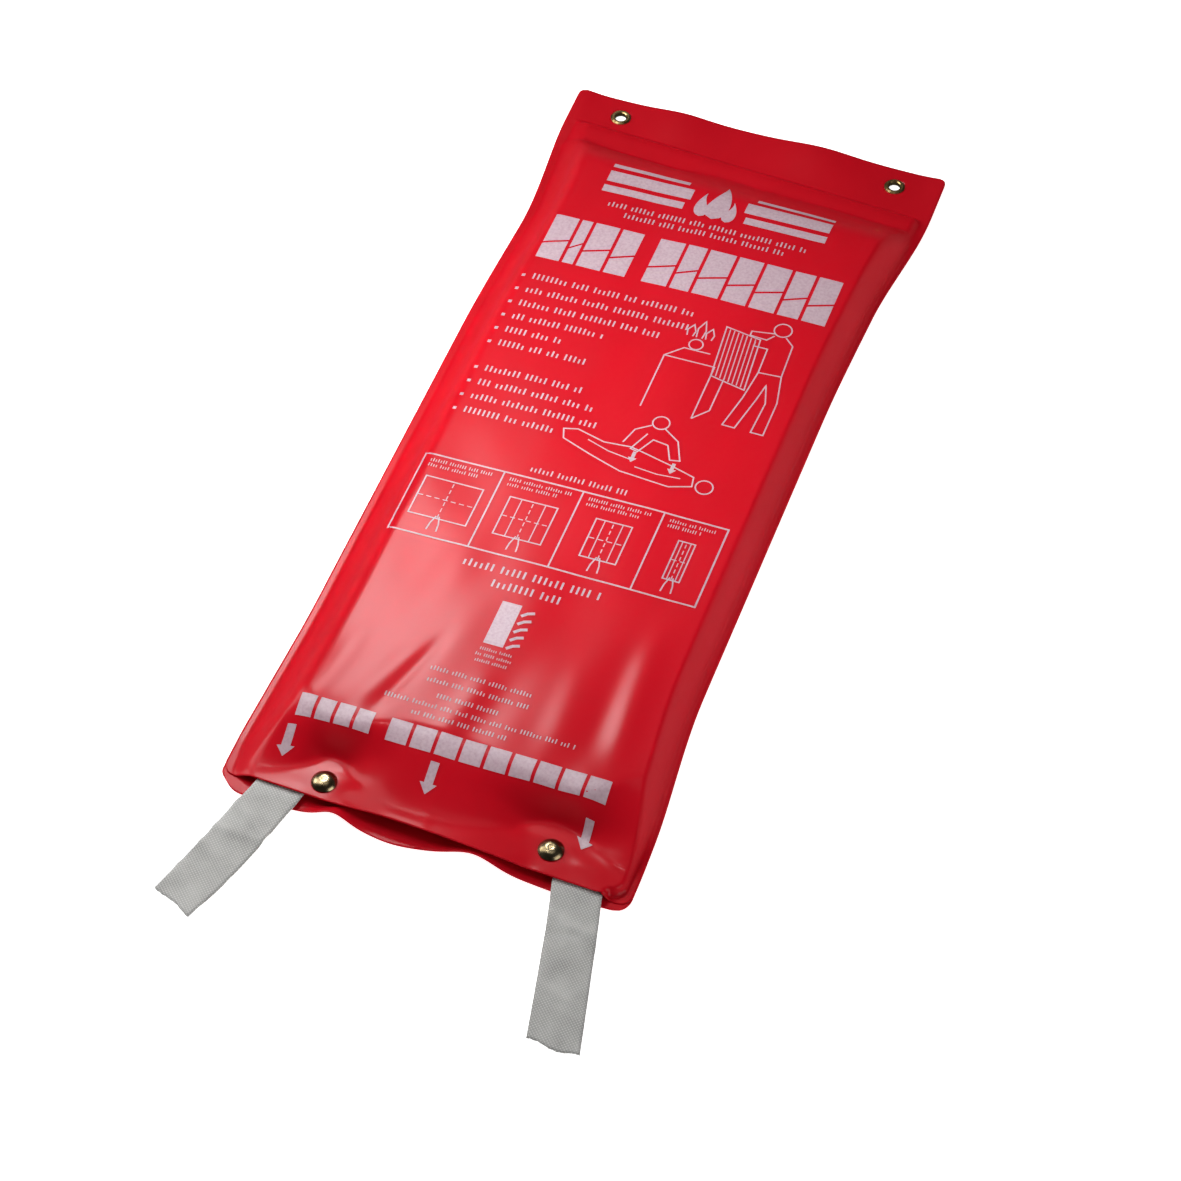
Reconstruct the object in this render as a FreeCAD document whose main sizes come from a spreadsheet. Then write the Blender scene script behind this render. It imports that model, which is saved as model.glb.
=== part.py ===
import FreeCAD, Part
import math
import os
import Sketcher
from FreeCAD import Vector

# Fire blanket in a soft wall pouch. Millimetres. The pouch lies on its back: +Z comes out of its
# front, +Y points to the header with the two eyelets, and -Y to the mouth with the two pull tapes.
# The origin is on the underside of the back sheet, midway along the pouch.

SHEET = "Dims"

DIMENSIONS = [
    # places along the pouch
    ("top_y", 251.0, "top edge of the header"),
    ("weld_y", 224.0, "weld below the header"),
    ("crown_y", 199.0, "front sheet reaches full height over the pack"),
    ("neck_y", 140.0, "sides reach the waist"),
    ("fold_y", -129.0, "fold line that the lip lifts about"),
    ("drop_y", -196.0, "front sheet starts down to the mouth"),
    ("seat_y", -229.0, "front sheet lies flat again, above the press studs"),
    ("lip_y", -250.0, "edge of the front sheet at the mouth"),
    # half widths
    ("header_half", 106.0, "half width at the header"),
    ("waist_half", 99.5, "half width along the pack"),
    ("mouth_half", 104.0, "half width at the mouth"),
    ("crease_half", 88.0, "half width of the front face"),
    ("seam_width", 4.0, "flat side seam"),
    ("corner_radius", 7.0, "rounded corners of the pouch"),
    # heights
    ("sheet_thick", 0.5, "vinyl sheet"),
    ("crown_z", 23.8, "underside of the front sheet over the pack"),
    ("band_z", 5.9, "underside of the lip at the press studs"),
    ("end_lift", 0.9, "back sheet lifted by the eyelets and stud posts"),
    ("joint_gap", 0.4, "gap round the lip"),
    # mouth edge of the back sheet, a wave about a straight line
    ("tongue_y", -255.0, "middle of the wave"),
    ("tongue_wave", 2.4, "height of the wave"),
    # eyelets
    ("eyelet_x", 79.0, "eyelets from the centre line"),
    ("eyelet_y", 237.5, "eyelet centres"),
    ("eyelet_bore", 3.2, "radius of the hanging hole"),
    ("eyelet_wall", 0.4, "wall of the barrel"),
    ("eyelet_rim", 5.6, "outer radius of flange and washer"),
    ("eyelet_foot_rim", 4.5, "outer radius of the rolled foot"),
    ("eyelet_under", 0.05, "underside of the rolled foot"),
    ("foot_roll", 0.1, "the foot is this much wider at its upper side"),
    ("washer_under", 0.3, "underside of the washer, upper side of the foot"),
    ("flange_edge", 0.35, "height of the flange's edge above the header"),
    ("flange_round", 0.9, "the flange slopes over this much of its rim"),
    ("flange_high", 0.95, "height of the flange above the header"),
    ("barrel_round", 0.5, "rounding at the top of the barrel"),
    ("barrel_play", 0.05, "room round the barrel in the vinyl"),
    ("washer_play", 0.1, "room round the barrel in the washer"),
    # press studs
    ("snap_x", 57.0, "press studs from the centre line"),
    ("snap_y", -239.0, "press stud centres"),
    ("cap_radius", 6.25, "domed cap"),
    ("cap_height", 3.0, "dome above the lip"),
    ("cap_crown", 0.75, "how far the dome's curve stands out from its chord"),
    ("cap_edge", 0.75, "height of the cap's upright edge"),
    ("cap_flat", 1.0, "radius of the flat at the top of the cap"),
    ("socket_radius", 4.8, "socket under the lip, and stud flange"),
    ("socket_mouth", 3.0, "radius of the socket's cavity"),
    ("socket_foot", 2.2, "bottom of the socket"),
    ("socket_bevel", 0.4, "bevel of the socket's and the rear post's rims"),
    ("socket_roof", 0.8, "thickness of the socket above its cavity"),
    ("ball_radius", 2.35, "head of the stud"),
    ("ball_top", 4.4, "top of the stud"),
    ("ball_wide", 1.2, "the head's widest line below its top"),
    ("ball_band", 0.6, "height of the head's upright band"),
    ("ball_neck", 0.25, "the neck is this much slimmer than the head"),
    ("ball_bevel", 0.55, "bevel at the top of the head"),
    ("ball_shell", 0.4, "thickness of the head's top"),
    ("stud_flange", 0.5, "thickness of the stud's flange"),
    ("post_radius", 1.2, "rivet posts"),
    ("post_rim", 5.0, "flange of the rear post"),
    ("post_under", 0.1, "underside of the rear post"),
    ("post_play", 0.1, "room round a post in the back sheet and in the stud"),
    ("cap_play", 0.2, "room round a post in the cap"),
    ("lip_play", 0.4, "room round a post in the lip and in the socket"),
    ("cap_room", 0.3, "cap's floor above the stud"),
    # folded blanket
    ("pack_half", 85.5, "half width of the folded blanket"),
    ("pack_under", 5.0, "underside of the folded blanket"),
    ("pack_over", 23.2, "upper side of the folded blanket"),
    ("pack_tail_y", 196.0, "end of the pack at the header"),
    ("pack_full_y", -84.0, "pack reaches full thickness"),
    ("pack_tip_y", -181.0, "end of the pack at the mouth"),
    ("pack_tip_z", 9.9, "upper side at the tip, where fewer folds lie"),
    ("fold_radius", 2.0, "rounded folds along the sides"),
    # pull tapes
    ("tape_inner", 62.4, "inner edge of a tape from the centre line"),
    ("tape_width", 25.0, "woven tape"),
    ("tape_thick", 1.0, "woven tape"),
    ("tape_sewn_y", -120.0, "end of the tape sewn to the blanket"),
    ("tape_end_y", -253.0, "end of the straight tape at the mouth"),
    ("tab_hinge_y", -254.0, "line that a tab bends about"),
    ("tab_land_y", -276.0, "tab reaches the floor"),
    ("tab_floor", 0.2, "underside of a tab on the floor"),
    ("right_end_x", 80.8, "inner corner of the right tab's end"),
    ("right_end_y", -335.6, "end of the right tab"),
    ("right_end_width", 26.0, "right tab's end, cut square to the pouch"),
    ("left_out_x", -109.0, "outer corner of the left tab's end"),
    ("left_out_y", -317.2, "outer corner of the left tab's end"),
    ("left_in_x", -87.0, "inner corner of the left tab's end"),
    ("left_in_y", -327.6, "inner corner of the left tab's end"),
    ("tab_curve", 1.6, "bulge of the left tab's curved edges"),
    # stitching
    ("stitch_y", -172.0, "stitched box, end nearer the mouth"),
    ("stitch_long", 42.0, "length of the stitched box"),
    ("stitch_inset", 3.0, "stitched box from the tape's edges"),
    ("thread", 0.9, "width of a stitched line"),
    ("thread_high", 0.3, "height of a stitched line"),
]


class Size:
    """A length in millimetres, with the sheet formula that gives it."""

    def __init__(self, value, formula):
        self.value = float(value)
        self.formula = formula

    def joined(self, other, sign, value):
        """The sum, difference, product or quotient, with its own formula."""
        return Size(value, f"({self.formula} {sign} {as_size(other).formula})")

    def __add__(self, other):
        return self.joined(other, "+", self.value + as_size(other).value)

    def __sub__(self, other):
        return self.joined(other, "-", self.value - as_size(other).value)

    def __mul__(self, other):
        return self.joined(other, "*", self.value * as_size(other).value)

    def __truediv__(self, other):
        return self.joined(other, "/", self.value / as_size(other).value)

    def __neg__(self):
        return Size(-self.value, f"(0 - {self.formula})")


def as_size(number):
    if isinstance(number, Size):
        return number
    return Size(number, f"{float(number):.4f}" if number >= 0 else f"(0 - {-float(number):.4f})")


VALUES = {name: value for name, value, note in DIMENSIONS}


def size(name):
    return Size(VALUES[name], f"{SHEET}.{name}")


def make_sheet(doc):
    sheet = doc.addObject("Spreadsheet::Sheet", SHEET)
    for row, (name, value, note) in enumerate(DIMENSIONS, start=1):
        sheet.set(f"A{row}", name)
        sheet.set(f"B{row}", str(value))
        sheet.set(f"C{row}", note)
        sheet.setAlias(f"B{row}", name)
    doc.recompute()


# ---------------------------------------------------------------- drawing helpers

def bind(thing, prop, length):
    """Sets a property from the sheet."""
    thing.setExpression(prop, as_size(length).formula)


def new_body(doc, label):
    body = doc.addObject("PartDesign::Body", label)
    body.Label = label
    return body


def new_sketch(body, name, role, offset=None):
    """A sketch on one of the body's own origin planes, moved along its normal by offset."""
    sketch = body.newObject("Sketcher::SketchObject", name)
    plane = [f for f in body.Origin.OriginFeatures if f.Role == role][0]
    sketch.AttachmentSupport = [(plane, "")]
    sketch.MapMode = "FlatFace"
    if offset is not None:
        bind(sketch, "AttachmentOffset.Base.z", offset)
    return sketch


def pin_down(sketch, index, point, corner):
    """Ties one point of an edge to its place, from the sheet."""
    for kind, place in (("DistanceX", corner[0]), ("DistanceY", corner[1])):
        number = sketch.addConstraint(
            Sketcher.Constraint(kind, -1, 1, index, point, as_size(place).value))
        bind(sketch, f"Constraints[{number}]", place)


def end_at(sketch, index, place):
    """1 if the edge starts at the place, 2 if it ends there."""
    return 1 if (sketch.getPoint(index, 1) - place).Length < 1e-6 else 2


def draw_outline(sketch, corners):
    """A closed outline. A corner is (across, up) or (across, up, bulge): the edge that leaves it
    is then an arc that stands out to its right by the bulge."""
    first = sketch.GeometryCount
    count = len(corners)
    places = [Vector(as_size(c[0]).value, as_size(c[1]).value, 0) for c in corners]
    for i, corner in enumerate(corners):
        start = places[i]
        end = places[(i + 1) % count]
        if len(corner) == 2:
            sketch.addGeometry(Part.LineSegment(start, end), False)
            continue
        along = (end - start).normalize()
        side = Vector(along.y, -along.x, 0)
        middle = (start + end) * 0.5 + side * as_size(corner[2]).value
        sketch.addGeometry(Part.Arc(start, middle, end), False)
    for i, corner in enumerate(corners):
        here = first + i
        before = first + (i - 1) % count
        point = end_at(sketch, here, places[i])
        sketch.addConstraint(
            Sketcher.Constraint("Coincident", before, end_at(sketch, before, places[i]), here, point))
        pin_down(sketch, here, point, corner)
        if len(corner) == 3:
            set_radius(sketch, here, arc_radius(corner, corners[(i + 1) % count]))


def arc_radius(start, end):
    """Radius of the arc between two corners that stands out by the first one's bulge."""
    across, up = as_size(end[0]) - start[0], as_size(end[1]) - start[1]
    bulge = start[2] if as_size(start[2]).value > 0 else -start[2]
    return (across * across + up * up) / (as_size(bulge) * 8) + as_size(bulge) / 2


def set_radius(sketch, index, radius):
    number = sketch.addConstraint(Sketcher.Constraint("Radius", index, as_size(radius).value))
    bind(sketch, f"Constraints[{number}]", radius)


def draw_circle(sketch, across, up, radius):
    circle = Part.Circle(Vector(as_size(across).value, as_size(up).value, 0),
                         Vector(0, 0, 1), as_size(radius).value)
    index = sketch.addGeometry(circle, False)
    pin_down(sketch, index, 3, (across, up))
    set_radius(sketch, index, radius)


def pad_across(body, outline, half_width):
    """Pads a side view, drawn on YZ, by the half width to the left and right."""
    sketch = new_sketch(body, body.Label + "_side", "YZ_Plane")
    draw_outline(sketch, outline)
    pad = body.newObject("PartDesign::Pad", body.Label + "_pad")
    pad.Profile = sketch
    pad.SideType = "Symmetric"
    bind(pad, "Length", as_size(half_width) * 2)
    return pad


def cut_down(body, name, draw):
    """Cuts through the whole height whatever the sketch on XY draws."""
    before = recomputed_volume(body)
    sketch = new_sketch(body, f"{body.Label}_{name}_plan", "XY_Plane")
    draw(sketch)
    pocket = body.newObject("PartDesign::Pocket", f"{body.Label}_{name}")
    pocket.Profile = sketch
    pocket.Type = "ThroughAll"
    pocket.SideType = "Symmetric"
    after = recomputed_volume(body)
    if not 0 < after < before:
        raise RuntimeError(f"{body.Label}: {name} cut nothing or everything")


def recomputed_volume(body):
    body.Document.recompute()
    return body.Shape.Volume


BEYOND = 420.0  # further out than any edge of the object


def trim_to(body, corners):
    """Keeps only what lies inside an outline seen from above."""
    def draw(sketch):
        draw_outline(sketch, [(-BEYOND, -BEYOND), (BEYOND, -BEYOND), (BEYOND, BEYOND), (-BEYOND, BEYOND)])
        draw_outline(sketch, corners)
    cut_down(body, "trim", draw)


def punch_holes(body, places, radius):
    def draw(sketch):
        for across, up in places:
            draw_circle(sketch, across, up, radius)
    cut_down(body, "holes_" + str(len(body.Group)), draw)


def turned(doc, label, outline, across, along):
    """A round piece, turned about the vertical line at (across, along) from a (radius, z) outline."""
    body = new_body(doc, label)
    sketch = new_sketch(body, label + "_profile", "XZ_Plane")
    draw_outline(sketch, outline)
    revolution = body.newObject("PartDesign::Revolution", label + "_turn")
    revolution.Profile = sketch
    revolution.ReferenceAxis = (sketch, ["V_Axis"])
    revolution.Angle = 360
    bind(body, "Placement.Base.x", across)
    bind(body, "Placement.Base.y", along)
    return body


def sheet_profile(upper_line, thickness):
    """The closed side view of a sheet whose underside follows upper_line's points."""
    top = [(y, as_size(z) + thickness) for y, z in upper_line]
    return list(upper_line) + top[::-1]


# ---------------------------------------------------------------- shared lines of the pouch

def back_line():
    """Underside of the back sheet, seen from the side."""
    flat = as_size(0)
    lift = size("end_lift")
    return [(size("tongue_y") - size("tongue_wave") * 2, lift), (size("seat_y"), lift),
            (size("drop_y"), flat), (size("crown_y"), flat), (size("weld_y"), lift), (size("top_y"), lift)]


def stations():
    """(y, half width, underside of the front sheet, top of the back sheet) down the pouch."""
    low = size("sheet_thick")
    high = size("sheet_thick") + size("end_lift")
    header, waist, mouth = size("header_half"), size("waist_half"), size("mouth_half")
    flare = mouth - waist
    return [
        (size("weld_y"), header, high, high),
        (size("crown_y"), header * 0.8 + waist * 0.2, size("crown_z"), low),
        (size("neck_y"), waist, size("crown_z"), low),
        (size("fold_y"), waist, size("crown_z"), low),
        (size("drop_y"), waist + flare * 0.2, size("crown_z"), low),
        (size("seat_y"), waist + flare * 0.7, size("band_z"), high),
        (size("lip_y"), mouth, size("band_z"), high),
    ]


def both_sides(across, along):
    return [(-size(across), size(along)), (size(across), size(along))]


# ---------------------------------------------------------------- pouch

def wave_points():
    """Places on the wavy mouth edge of the back sheet, from right to left."""
    middle, wave = size("tongue_y").value, size("tongue_wave").value
    reach = size("mouth_half").value - size("corner_radius").value
    steps = 12
    points = []
    for i in range(steps + 1):
        across = reach * (1 - 2 * i / steps)
        swing = math.sin(across / reach * 2.4 * math.pi + 0.9) - 0.25 * (across / reach) ** 2
        points.append(Vector(across, middle + wave * swing * 0.9, 0))
    return points


def back_outline(sketch):
    """Outline of the back sheet: straight runs down the sides, round corners, a wavy mouth edge."""
    half, top, radius = size("header_half"), size("top_y"), size("corner_radius")
    draw_outline(sketch, [(-BEYOND, -BEYOND), (BEYOND, -BEYOND), (BEYOND, BEYOND), (-BEYOND, BEYOND)])
    wave = wave_points()
    down = [(s[1].value, s[0].value) for s in stations()]
    right = [Vector(x, y, 0) for x, y in down]
    left = [Vector(-x, y, 0) for x, y in reversed(down)]
    header_right = Vector(half.value, top.value - radius.value, 0)
    header_left = Vector(-half.value, header_right.y, 0)
    lean = radius.value * (1 - math.sqrt(0.5))
    top_right = Vector(half.value - radius.value, top.value, 0)
    top_left = Vector(-top_right.x, top.value, 0)
    bend_right = Vector(half.value - lean, top.value - lean, 0)
    bend_left = Vector(-bend_right.x, bend_right.y, 0)
    low_right = Vector((right[-1].x + wave[0].x) / 2 + 1.2, wave[0].y + 1.2, 0)
    low_left = Vector((left[0].x + wave[-1].x) / 2 - 1.2, wave[-1].y + 1.2, 0)
    edge = Part.BSplineCurve()
    edge.interpolate(wave)
    sketch.addGeometry(edge, False)
    sketch.addGeometry(Part.Arc(wave[-1], low_left, left[0]), False)
    chain = left + [header_left]
    for a, b in zip(chain, chain[1:]):
        sketch.addGeometry(Part.LineSegment(a, b), False)
    sketch.addGeometry(Part.Arc(header_left, bend_left, top_left), False)
    sketch.addGeometry(Part.LineSegment(top_left, top_right), False)
    sketch.addGeometry(Part.Arc(top_right, bend_right, header_right), False)
    chain = [header_right] + right
    for a, b in zip(chain, chain[1:]):
        sketch.addGeometry(Part.LineSegment(a, b), False)
    sketch.addGeometry(Part.Arc(right[-1], low_right, wave[0]), False)


def make_back_panel(doc):
    body = new_body(doc, "back_panel")
    pad_across(body, sheet_profile(back_line(), size("sheet_thick")), size("header_half") + 5)
    cut_down(body, "trim", back_outline)
    punch_holes(body, both_sides("eyelet_x", "eyelet_y"), barrel_outside() + size("barrel_play"))
    punch_holes(body, both_sides("snap_x", "snap_y"), size("post_radius") + size("post_play"))


def make_header_band(doc):
    """The front sheet above the weld, flat on the back sheet."""
    body = new_body(doc, "header_band")
    under = size("sheet_thick") + size("end_lift")
    line = [(size("weld_y"), under), (size("top_y"), under)]
    half, radius = size("header_half"), size("corner_radius")
    pad_across(body, sheet_profile(line, size("sheet_thick")), half)
    bulge = radius * (math.sqrt(2) - 1) / math.sqrt(2)
    trim_to(body, [
        (-half, size("weld_y")), (half, size("weld_y")), (half, size("top_y") - radius, bulge),
        (half - radius, size("top_y")), (radius - half, size("top_y"), bulge),
        (-half, size("top_y") - radius)])
    punch_holes(body, both_sides("eyelet_x", "eyelet_y"), barrel_outside() + size("barrel_play"))


def make_front_panel(doc):
    """The front face from the weld to the lip's fold line."""
    body = new_body(doc, "front_panel")
    line = [(size("fold_y") + size("joint_gap") / 2, size("crown_z")), (size("crown_y"), size("crown_z")),
            (size("weld_y"), size("sheet_thick") + size("end_lift"))]
    pad_across(body, sheet_profile(line, size("sheet_thick")), size("crease_half"))


def make_side_panel(doc, label, side):
    """The front sheet where it slopes from the crease to the side seam, from weld to mouth."""
    body = new_body(doc, label)
    crease, thick, seam = size("crease_half"), size("sheet_thick"), size("seam_width")
    sections = []
    for number, (y, half, upper, lower) in enumerate(stations()):
        sketch = new_sketch(body, f"{label}_section_{number}", "XZ_Plane", -y)
        wall = [(crease, upper), (crease, upper + thick), (crease + 0.4, upper + thick),
                (half - seam + 0.4, lower + thick), (half, lower + thick), (half, lower),
                (half - seam, lower)]
        draw_outline(sketch, [(across * side, up) for across, up in wall])
        sections.append(sketch)
    doc.recompute()
    loft = body.newObject("PartDesign::AdditiveLoft", label + "_loft")
    loft.Profile = sections[0]
    loft.Sections = sections[1:]
    loft.Ruled = True


def make_front_lip(doc):
    """The front face below the fold line, held shut by the press studs."""
    body = new_body(doc, "front_lip")
    line = [(size("lip_y"), size("band_z")), (size("seat_y"), size("band_z")),
            (size("drop_y"), size("crown_z")), (size("fold_y") - size("joint_gap") / 2, size("crown_z"))]
    pad_across(body, sheet_profile(line, size("sheet_thick")), size("crease_half") - size("joint_gap"))
    punch_holes(body, both_sides("snap_x", "snap_y"), size("post_radius") + size("lip_play"))


# ---------------------------------------------------------------- eyelets and press studs

def barrel_outside():
    return size("eyelet_bore") + size("eyelet_wall")


def make_eyelet(doc, name, side):
    """A rolled barrel with its flange on the header, and the washer it is set over behind."""
    bore, outside, rim = size("eyelet_bore"), barrel_outside(), size("eyelet_rim")
    foot, under, over = size("eyelet_foot_rim"), size("eyelet_under"), size("washer_under")
    header_top = size("sheet_thick") * 2 + size("end_lift")
    edge, top = header_top + size("flange_edge"), header_top + size("flange_high")
    round_over = size("barrel_round")
    across = size("eyelet_x") * side
    turned(doc, name + "_eyelet", [
        (bore, under), (foot, under), (foot + size("foot_roll"), over), (outside, over),
        (outside, header_top), (rim, header_top), (rim, edge), (rim - size("flange_round"), top),
        (bore + round_over, top), (bore, header_top + round_over)], across, size("eyelet_y"))
    inside = outside + size("washer_play")
    turned(doc, name + "_eyelet_washer", [
        (inside, over), (rim, over), (rim, size("end_lift")), (inside, size("end_lift"))],
        across, size("eyelet_y"))


def make_snap_cap(doc, name, place):
    """The domed cap on the lip, with the foot of its post inside the socket."""
    post, lip_top = size("post_radius") + size("cap_play"), size("band_z") + size("sheet_thick")
    cap, crown, floor = size("cap_radius"), lip_top + size("cap_height"), size("ball_top") + size("cap_room")
    turned(doc, name + "_snap_cap", [
        (0, floor), (post, floor), (post, lip_top), (cap, lip_top),
        (cap, lip_top + size("cap_edge"), size("cap_crown")), (size("cap_flat"), crown), (0, crown)], *place)


def make_snap_socket(doc, name, place):
    """The socket under the lip, open below where the stud's head goes in."""
    rim, cavity, foot = size("socket_radius"), size("socket_mouth"), size("socket_foot")
    hole, bevel = size("post_radius") + size("lip_play"), size("socket_bevel")
    roof = size("band_z") - size("socket_roof")
    turned(doc, name + "_snap_socket", [
        (cavity, foot), (rim - bevel, foot), (rim, foot + bevel), (rim, size("band_z")),
        (hole, size("band_z")), (hole, roof), (cavity, roof)], *place)


def make_snap_stud(doc, name, place):
    """The stud on the back sheet: a flange, a neck and a hollow head."""
    hole, rim = size("post_radius") + size("post_play"), size("socket_radius")
    seat = size("end_lift") + size("sheet_thick")
    flange = seat + size("stud_flange")
    ball, top = size("ball_radius"), size("ball_top")
    neck, wide = ball - size("ball_neck"), top - size("ball_wide")
    ceiling = top - size("ball_shell")
    turned(doc, name + "_snap_stud", [
        (hole, seat), (rim, seat), (rim, flange), (neck, flange), (neck, wide - size("ball_neck") * 2),
        (ball, wide), (ball, wide + size("ball_band")), (ball - size("ball_bevel"), top),
        (0, top), (0, ceiling), (hole, ceiling)], *place)


def make_snap_post(doc, name, place):
    """The rear post that rivets the stud to the back sheet."""
    rim, post, under = size("post_rim"), size("post_radius"), size("post_under")
    bevel, end = size("socket_bevel"), size("ball_top") - size("ball_shell") - size("post_play")
    turned(doc, name + "_snap_post", [
        (0, under), (rim - bevel, under), (rim, under + bevel), (rim, size("end_lift")),
        (post, size("end_lift")), (post, end), (0, end)], *place)


def make_press_stud(doc, name, side):
    """Cap and socket on the lip, stud and rear post on the back sheet."""
    place = (size("snap_x") * side, size("snap_y"))
    make_snap_cap(doc, name, place)
    make_snap_socket(doc, name, place)
    make_snap_stud(doc, name, place)
    make_snap_post(doc, name, place)


# ---------------------------------------------------------------- blanket and tapes

def make_folded_blanket(doc):
    """The folded cloth: full thickness under the front face, fewer folds towards the mouth."""
    body = new_body(doc, "folded_blanket")
    soft = size("fold_radius")
    pad = pad_across(body, [
        (size("pack_tip_y"), size("pack_under")), (size("pack_tail_y") - soft, size("pack_under")),
        (size("pack_tail_y"), size("pack_under") + soft), (size("pack_tail_y"), size("pack_over") - soft),
        (size("pack_tail_y") - soft, size("pack_over")), (size("pack_full_y"), size("pack_over")),
        (size("pack_tip_y") + soft, size("pack_tip_z")), (size("pack_tip_y"), size("pack_tip_z") - soft)],
        size("pack_half"))
    doc.recompute()
    long_edges = []
    for number, edge in enumerate(pad.Shape.Edges, start=1):
        box = edge.BoundBox
        on_top = box.ZMin > size("pack_over").value - 0.01
        if on_top and box.XLength < 0.01 and box.YLength > size("pack_half").value:
            long_edges.append(f"Edge{number}")
    fillet = body.newObject("PartDesign::Fillet", "folded_blanket_round")
    fillet.Base = (pad, long_edges)
    bind(fillet, "Radius", soft)


def tape_edges(side):
    inner = size("tape_inner") * side
    return inner, inner + size("tape_width") * side


def make_tape(doc, label, side):
    """The straight stretch of a tape, sewn under the blanket and led out of the mouth."""
    body = new_body(doc, label)
    inner, outer = tape_edges(side)
    sketch = new_sketch(body, label + "_plan", "XY_Plane", size("pack_under") - size("tape_thick"))
    start, end = size("tape_end_y"), size("tape_sewn_y")
    draw_outline(sketch, [(inner, start), (outer, start), (outer, end), (inner, end)])
    pad = body.newObject("PartDesign::Pad", label + "_pad")
    pad.Profile = sketch
    bind(pad, "Length", size("tape_thick"))


def make_tab(doc, label, outline):
    """The free end of a tape: down from the mouth to the floor, then along it."""
    body = new_body(doc, label)
    start = size("tab_hinge_y") - size("joint_gap")
    line = [(as_size(-BEYOND), size("tab_floor")), (size("tab_land_y"), size("tab_floor")),
            (start, size("pack_under") - size("tape_thick"))]
    pad_across(body, sheet_profile(line, size("tape_thick")), as_size(BEYOND / 2))
    trim_to(body, outline)


def make_tabs(doc):
    start = size("tab_hinge_y") - size("joint_gap")
    inner, outer = tape_edges(1)
    make_tab(doc, "right_tape_tab", [
        (inner, start), (size("right_end_x"), size("right_end_y")),
        (size("right_end_x") + size("right_end_width"), size("right_end_y")), (outer, start)])
    inner, outer = tape_edges(-1)
    curve = size("tab_curve")
    make_tab(doc, "left_tape_tab", [
        (inner, start), (outer, start, -curve), (size("left_out_x"), size("left_out_y")),
        (size("left_in_x"), size("left_in_y"), curve)])


def make_stitching(doc, label, side):
    """A sewn box with a bar across its middle, on the underside of the tape."""
    body = new_body(doc, label)
    inner, outer = tape_edges(side)
    inset, thread = size("stitch_inset") * side, size("thread") * side
    start, end = size("stitch_y"), size("stitch_y") + size("stitch_long")
    middle = start + size("stitch_long") / 2
    half = size("thread") / 2
    under = size("pack_under") - size("tape_thick") - size("thread_high")
    sketch = new_sketch(body, label + "_plan", "XY_Plane", under)
    left, right = inner + inset, outer - inset

    def rectangle(x_a, y_a, x_b, y_b):
        draw_outline(sketch, [(x_a, y_a), (x_b, y_a), (x_b, y_b), (x_a, y_b)])

    rectangle(left, start, right, end)
    rectangle(left + thread, start + size("thread"), right - thread, middle - half)
    rectangle(left + thread, middle + half, right - thread, end - size("thread"))
    pad = body.newObject("PartDesign::Pad", label + "_pad")
    pad.Profile = sketch
    bind(pad, "Length", size("thread_high"))


# ---------------------------------------------------------------- assembly and export

def build():
    doc = FreeCAD.newDocument("fire_blanket")
    make_sheet(doc)
    make_back_panel(doc)
    make_header_band(doc)
    make_front_panel(doc)
    make_front_lip(doc)
    for name, side in (("left", -1), ("right", 1)):
        make_side_panel(doc, name + "_side_panel", side)
        make_eyelet(doc, name, side)
        make_press_stud(doc, name, side)
        make_tape(doc, name + "_pull_tape", side)
        make_stitching(doc, name + "_tape_stitching", side)
    make_folded_blanket(doc)
    make_tabs(doc)
    doc.recompute()
    return doc


def check(doc):
    for thing in doc.Objects:
        if "Invalid" in thing.State or "Error" in thing.State:
            raise RuntimeError(f"{thing.Label} failed: {thing.State}")
    bodies = [thing for thing in doc.Objects if thing.TypeId == "PartDesign::Body"]
    for body in bodies:
        shape = body.Shape
        if shape.isNull() or not shape.isValid() or len(shape.Solids) != 1:
            raise RuntimeError(f"{body.Label} has no single valid solid")
    return bodies


def export(bodies):
    os.makedirs("parts", exist_ok=True)
    for body in bodies:
        body.Shape.exportStep(f"parts/{body.Label}.step")
        box = body.Shape.BoundBox
        print(f"{body.Label:26s} {body.Shape.Volume:11.1f} mm3  "
              f"x {box.XMin:8.2f} {box.XMax:8.2f}  y {box.YMin:8.2f} {box.YMax:8.2f}  "
              f"z {box.ZMin:6.2f} {box.ZMax:6.2f}")


export(check(build()))
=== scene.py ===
"""Fire blanket pouch: vinyl, cloth, tapes, print, materials, floor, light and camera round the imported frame.
Lengths are in millimetres until they become mesh points. Lights, floor and camera are in metres.
"""
import math

import bpy
import numpy as np
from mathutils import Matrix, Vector


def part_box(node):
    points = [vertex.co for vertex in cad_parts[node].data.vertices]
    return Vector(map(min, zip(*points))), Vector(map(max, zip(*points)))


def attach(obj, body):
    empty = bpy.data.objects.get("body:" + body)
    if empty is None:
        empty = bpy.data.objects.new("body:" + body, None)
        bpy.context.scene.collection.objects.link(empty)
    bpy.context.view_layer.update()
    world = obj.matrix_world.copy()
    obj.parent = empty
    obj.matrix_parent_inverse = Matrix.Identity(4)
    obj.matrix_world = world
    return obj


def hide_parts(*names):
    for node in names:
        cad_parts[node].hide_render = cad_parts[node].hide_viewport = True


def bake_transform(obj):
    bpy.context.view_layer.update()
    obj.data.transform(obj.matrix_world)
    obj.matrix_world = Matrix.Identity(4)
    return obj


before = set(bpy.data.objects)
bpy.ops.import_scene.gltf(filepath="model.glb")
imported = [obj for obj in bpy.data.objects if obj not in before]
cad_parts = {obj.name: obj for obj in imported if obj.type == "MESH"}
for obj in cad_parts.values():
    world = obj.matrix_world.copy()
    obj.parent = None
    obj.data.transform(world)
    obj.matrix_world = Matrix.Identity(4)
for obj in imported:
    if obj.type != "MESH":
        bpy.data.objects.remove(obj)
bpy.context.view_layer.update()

MM = 0.001


# ---------------------------------------------------------------- sizes from the frame

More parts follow.
